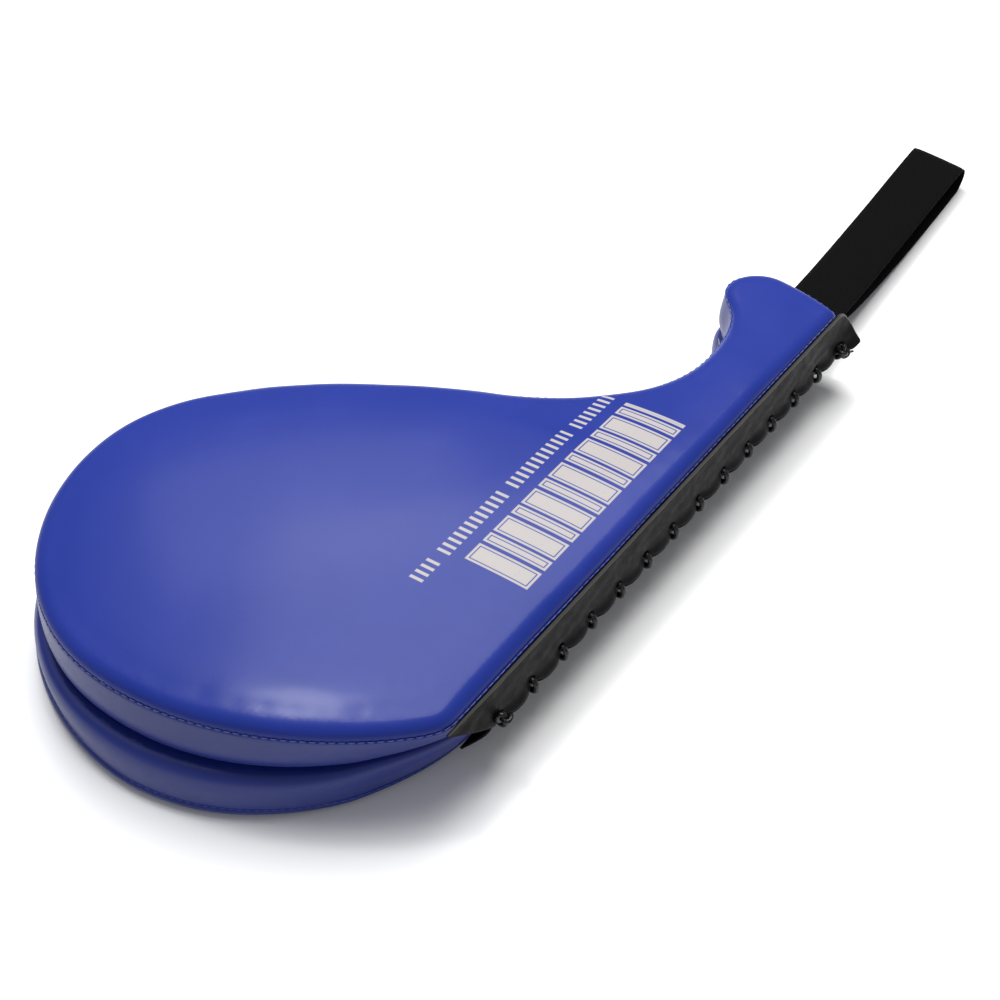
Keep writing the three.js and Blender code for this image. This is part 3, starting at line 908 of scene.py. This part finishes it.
def strip_surface(leaf, x, share, offset):
    """The strip's mid surface: share runs from its free edge (0) to the seam (1)."""
    top = leaf.wall_top - 0.5
    flap = np.clip((x - 1.5) / (FLAP_END - 1.5), 0, 1)
    high = 5.4 + (top - 5.4) * (1 - flap ** 2.4) ** 0.8
    head = np.clip((STRIP_HEAD_X - x) / (STRIP_HEAD_X - leaf.strip_tip_x), 0, 1)
    low = 0.55 + (top - 0.8) * head ** 1.1
    pull = loop_pull(x)
    low = low + 0.5 * pull * (1 - head) + 3.4 * smoothstep(x, FLAP_END - 5, FLAP_END)
    height = low + (high - low) * share
    top_y = leaf.lean_laced - 0.3 - STRIP_HALF
    y = HINGE_Y + (top_y - HINGE_Y) * height / leaf.wall_top
    reach = np.exp(-((height - low) / 3.4) ** 2)
    y = y - (2.9 * (1 - pull) - 0.1) * reach * (1 - head)
    y = y - 4.5 * smoothstep(x, 1, FLAP_END) * np.exp(-((height - low) / 12.0) ** 2)
    y = y + 1.0 * pull * np.exp(-(((height - 4.2) / 2.6) ** 2))
    y = y - 0.7 * np.sin(math.pi * np.clip(height / leaf.wall_top, 0, 1)) * (1 - 0.5 * pull)
    fold = np.sin(x * 0.53 + height * 0.35) * 0.16 + np.sin(x * 0.21 - height * 0.6 + 1.3) * 0.22
    y = y + fold * (1 - share) * share * 4
    return np.stack([x, y + offset, HINGE_Z + leaf.side * height], -1)


def lacing_strip(leaf):
    """The black strip over the laced edge, pinched in at each lace loop."""
    flap = FLAP_END * np.sin(np.linspace(0, math.pi / 2, 22)[1:])
    near = np.concatenate([np.linspace(leaf.strip_tip_x, 0, 221), flap])
    across = np.concatenate([np.linspace(0, 0.2, 5), np.linspace(0.28, 0.9, 9), [0.955, 1.0]])
    rows = []
    for share in across:
        rows.append(strip_surface(leaf, near, share, -STRIP_HALF))
    edge = strip_surface(leaf, near, 1.0, 0.0)
    edge[:, 2] += leaf.side * 0.3
    rows.append(edge)
    for share in across[::-1]:
        rows.append(strip_surface(leaf, near, share, STRIP_HALF))
    edge = strip_surface(leaf, near, 0.0, 0.0)
    edge[:, 2] -= leaf.side * 0.45
    rows.append(edge)
    columns = len(near)
    points = np.vstack(rows)
    faces = grid_faces(len(rows), columns, wrap_rows=True)
    slots = [1 if i // (columns - 1) in (len(across) - 2, len(across) - 1) else 0
             for i in range(len(faces))]
    faces.append(tuple(i * columns for i in range(len(rows))))
    faces.append(tuple(i * columns + columns - 1 for i in range(len(rows)))[::-1])
    slots += [0, 0]
    piece = make_mesh(f"{leaf.prefix}_laced_strip", points, faces, [STRIP, RAW_EDGE], slots)
    cut_eyelets(piece, leaf)
    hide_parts(f"{leaf.prefix}_lacing_strip")
    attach(piece, leaf.body)


def cut_eyelets(piece, leaf):
    """Cuts the round holes that the lace runs through."""
    slope = (leaf.lean_laced - 0.3 - STRIP_HALF - HINGE_Y) / leaf.wall_top
    height = LOOP_RADIUS / math.hypot(1, slope)
    bodies = []
    for i in range(LACE_COUNT):
        y = HINGE_Y + slope * height
        way = np.array([0, 1, -slope * leaf.side])
        centre = np.array([lace_x(i), y, HINGE_Z + leaf.side * height])
        path = centre + np.linspace(-5, 5, 4)[:, None] * way
        bodies.append(tube(path, EYELET_RADIUS, 20))
    points, faces, uv = joined(bodies)
    cutter = make_mesh("eyelet_cutter", points, faces, [STRIP])
    cut = piece.modifiers.new("eyelets", "BOOLEAN")
    cut.operation = "DIFFERENCE"
    cut.solver = "EXACT"
    cut.object = cutter
    apply_modifiers(piece)
    bpy.data.objects.remove(cutter)


# -------------------------------------------------------------------------------- lace

def around_hinge(x, angle, radius=LOOP_RADIUS):
    """A point about the hinge line, by its angle from straight up towards the outside."""
    return np.stack(np.broadcast_arrays(
        x, HINGE_Y - radius * np.sin(angle), HINGE_Z + radius * np.cos(angle)
    ), -1)


def lace_route():
    """The run of the cord through all the eyelets."""
    first, last = math.radians(-35), math.radians(240)
    pieces = []
    for i in range(LACE_COUNT):
        angle = np.linspace(first, last, 22)
        flatter = 0.75 * np.maximum(np.sin(angle), 0) ** 2
        pieces.append(around_hinge(lace_x(i), angle, LOOP_RADIUS - flatter))
        if i < LACE_COUNT - 1:
            t = np.linspace(0, 1, 18)[1:-1]
            behind = last + (first + 2 * math.pi - last) * t
            pieces.append(around_hinge(lace_x(i) - LACE_PITCH * smoothstep(t, 0, 1), behind))
    return np.vstack(pieces)


def knot_route(centre, size, turn):
    """A pulled-tight overhand knot about a point."""
    t = np.linspace(0, 2 * math.pi, 64)
    shape = np.stack([
        np.sin(t) + 2 * np.sin(2 * t), np.cos(t) - 2 * np.cos(2 * t), -1.25 * np.sin(3 * t),
    ], 1) * size
    turned = shape @ np.array(Matrix.Rotation(turn, 3, "Z") @ Matrix.Rotation(0.9, 3, "X")).T
    return centre + turned


def make_lace():
    bodies = [tube(lace_route(), LACE_RADIUS, 14)]
    for end, turn, forward, up in ((0, 0.4, 0.0, 0.0), (LACE_COUNT - 1, 2.1, -2.5, 5.0)):
        centre = around_hinge(lace_x(end), math.radians(62), KNOT_STANDOFF)
        centre = centre + np.array([forward, 0.5, up])
        bodies.append(tube(knot_route(centre, KNOT_SIZE, turn), KNOT_RADIUS, 12))
    points, faces, uv = joined(bodies)
    lace = make_mesh("lace_cord", points, faces, [CORD], uv=uv)
    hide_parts("lace")
    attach(lace, "lower_leaf")


# ------------------------------------------------------------------------- wrist strap

STRAP = {
    "width": 31.0, "thickness": 1.1, "base_x": 9.5, "centre_y": 24.0, "length": 186.0,
    "tip_radius": 8.05, "yaw": math.radians(3.3), "inner_end": -24.0,
}


def bend(a, b, c, d, count):
    """Points along a Bezier curve."""
    t = np.linspace(0, 1, count)[:, None]
    a, b, c, d = (np.array(p, float) for p in (a, b, c, d))
    return (1 - t) ** 3 * a + 3 * (1 - t) ** 2 * t * b + 3 * (1 - t) * t * t * c + t ** 3 * d


def strap_side():
    """The mid line of the strap seen from its side, out along its lower layer and back."""
    radius = STRAP["tip_radius"]
    tip = (STRAP["length"] - 0.55 - radius, radius + 0.6 - HINGE_Z)
    inner = STRAP["inner_end"] - STRAP["base_x"]
    half = 0.57  # half the distance between the two layers inside the handle
    angle = np.linspace(-math.pi / 2, math.pi / 2, 16)
    arc = np.stack([tip[0] + radius * np.cos(angle), tip[1] + radius * np.sin(angle)], 1)
    low, high = tip[1] - radius, tip[1] + radius
    return np.vstack([
        bend((inner, -half), (inner + 8, -half), (-8, -half), (0, -half), 12)[:-1],
        bend((0, -half), (26, -14.5), (70, low), (tip[0], low), 46)[:-1],
        arc[:-1],
        bend((tip[0], high), (120, high + 3.0), (17, high - 2.0), (0, half), 46)[:-1],
        bend((0, half), (-8, half), (inner + 8, half), (inner, half), 12),
    ])


def make_strap():
    side = strap_side()
    tangent = np.gradient(side, axis=0)
    tangent /= np.linalg.norm(tangent, axis=1, keepdims=True)
    normal = np.stack([-tangent[:, 1], tangent[:, 0]], 1)
    distance = np.concatenate([[0], np.cumsum(np.linalg.norm(np.diff(side, axis=0), axis=1))])
    across = np.linspace(-0.5, 0.5, 13)
    half = STRAP["thickness"] / 2
    section = [(v, half * (1 if abs(v) < 0.49 else 0.5)) for v in across]
    section += [(v, -half * (1 if abs(v) < 0.49 else 0.5)) for v in across[::-1]]
    rows, uv = [], []
    yaw = STRAP["yaw"]
    free = smoothstep(side[:, 0], 4, 60)
    for v, lift in section:
        place_ = side + normal * lift
        curl = 0.35 * (2 * v) ** 2 * free
        twist = (v + 0.5) * 2.0 * smoothstep(side[:, 0], 110, 185)
        along, up = place_[:, 0], place_[:, 1] + curl * np.sign(normal[:, 1])
        width = v * STRAP["width"]
        x = STRAP["base_x"] + along * math.cos(yaw) - width * math.sin(yaw)
        y = STRAP["centre_y"] + along * math.sin(yaw) + width * math.cos(yaw)
        rows.append(np.stack([x, y, HINGE_Z + up + twist], 1))
        uv.append(np.stack([distance, np.full(len(distance), width)], 1))
    count = len(side)
    faces = grid_faces(len(rows), count, wrap_rows=True)
    faces.append(tuple(i * count for i in range(len(rows))))
    faces.append(tuple(i * count + count - 1 for i in range(len(rows)))[::-1])
    strap = make_mesh("wrist_webbing", np.vstack(rows), faces, [WEBBING], uv=np.vstack(uv))
    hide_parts("wrist_strap", "strap_tab")
    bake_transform(strap)


# ------------------------------------------------------------------------------- build

# The lower leaf's face takes the darker wall leather: painted shade.
for part, cover in ((UPPER, STRUCK), (LOWER, WALL)):
    make_skin(part, cover)
    seam_edge(part)
    lacing_strip(part)
make_lace()
make_strap()

BOARD = board_finish()
SLAT = slat_finish()
for leaf in (UPPER, LOWER):
    for node_name, made_of in (("core_board", BOARD), ("handle_slat", SLAT)):
        carried = frame["nodes"][f"{leaf.prefix}_{node_name}"]
        carried.data.materials.clear()
        carried.data.materials.append(made_of)

# ----------------------------------------------------------------------- floor, lights

FLOOR_SIDE = 6.0
LIGHT_DISTANCE = 1.4
MIDDLE = Vector((-0.08, 0, 0))
LIGHTS = (  # name, direction from the middle, size in metres, power
    ("softbox", (0.26, 0.12, 0.958), (0.95, 0.95), 24),
    ("panel", (0.36, 0.50, 0.787), (0.5, 0.3), 2.4),
    ("spot", (0.03, 0.245, 0.969), (0.17, 0.17), 3.4),
)


def make_floor():
    side = FLOOR_SIDE
    mesh = bpy.data.meshes.new("studio_floor")
    mesh.from_pydata(
        [(-side, -side, 0), (side, -side, 0), (side, side, 0), (-side, side, 0)], [], [(0, 1, 2, 3)]
    )
    mesh.materials.append(floor_finish())
    floor = bpy.data.objects.new("studio_floor", mesh)
    bpy.context.scene.collection.objects.link(floor)


def area_light(name, direction, size, energy):
    data = bpy.data.lights.new(name, "AREA")
    data.shape = "RECTANGLE"
    data.size, data.size_y = size
    data.energy = energy
    light = bpy.data.objects.new(name, data)
    bpy.context.scene.collection.objects.link(light)
    light.location = MIDDLE + Vector(direction).normalized() * LIGHT_DISTANCE
    light.rotation_euler = (MIDDLE - light.location).to_track_quat("-Z", "Y").to_euler()


def make_world(color, strength):
    world = bpy.data.worlds.new("studio")
    world.use_nodes = True
    background = world.node_tree.nodes["Background"]
    background.inputs["Color"].default_value = color
    background.inputs["Strength"].default_value = strength
    bpy.context.scene.world = world


make_floor()
make_world((0.97, 0.98, 1.0, 1.0), 0.36)
for light_values in LIGHTS:
    area_light(*light_values)
bpy.context.scene.view_settings.view_transform = "Standard"
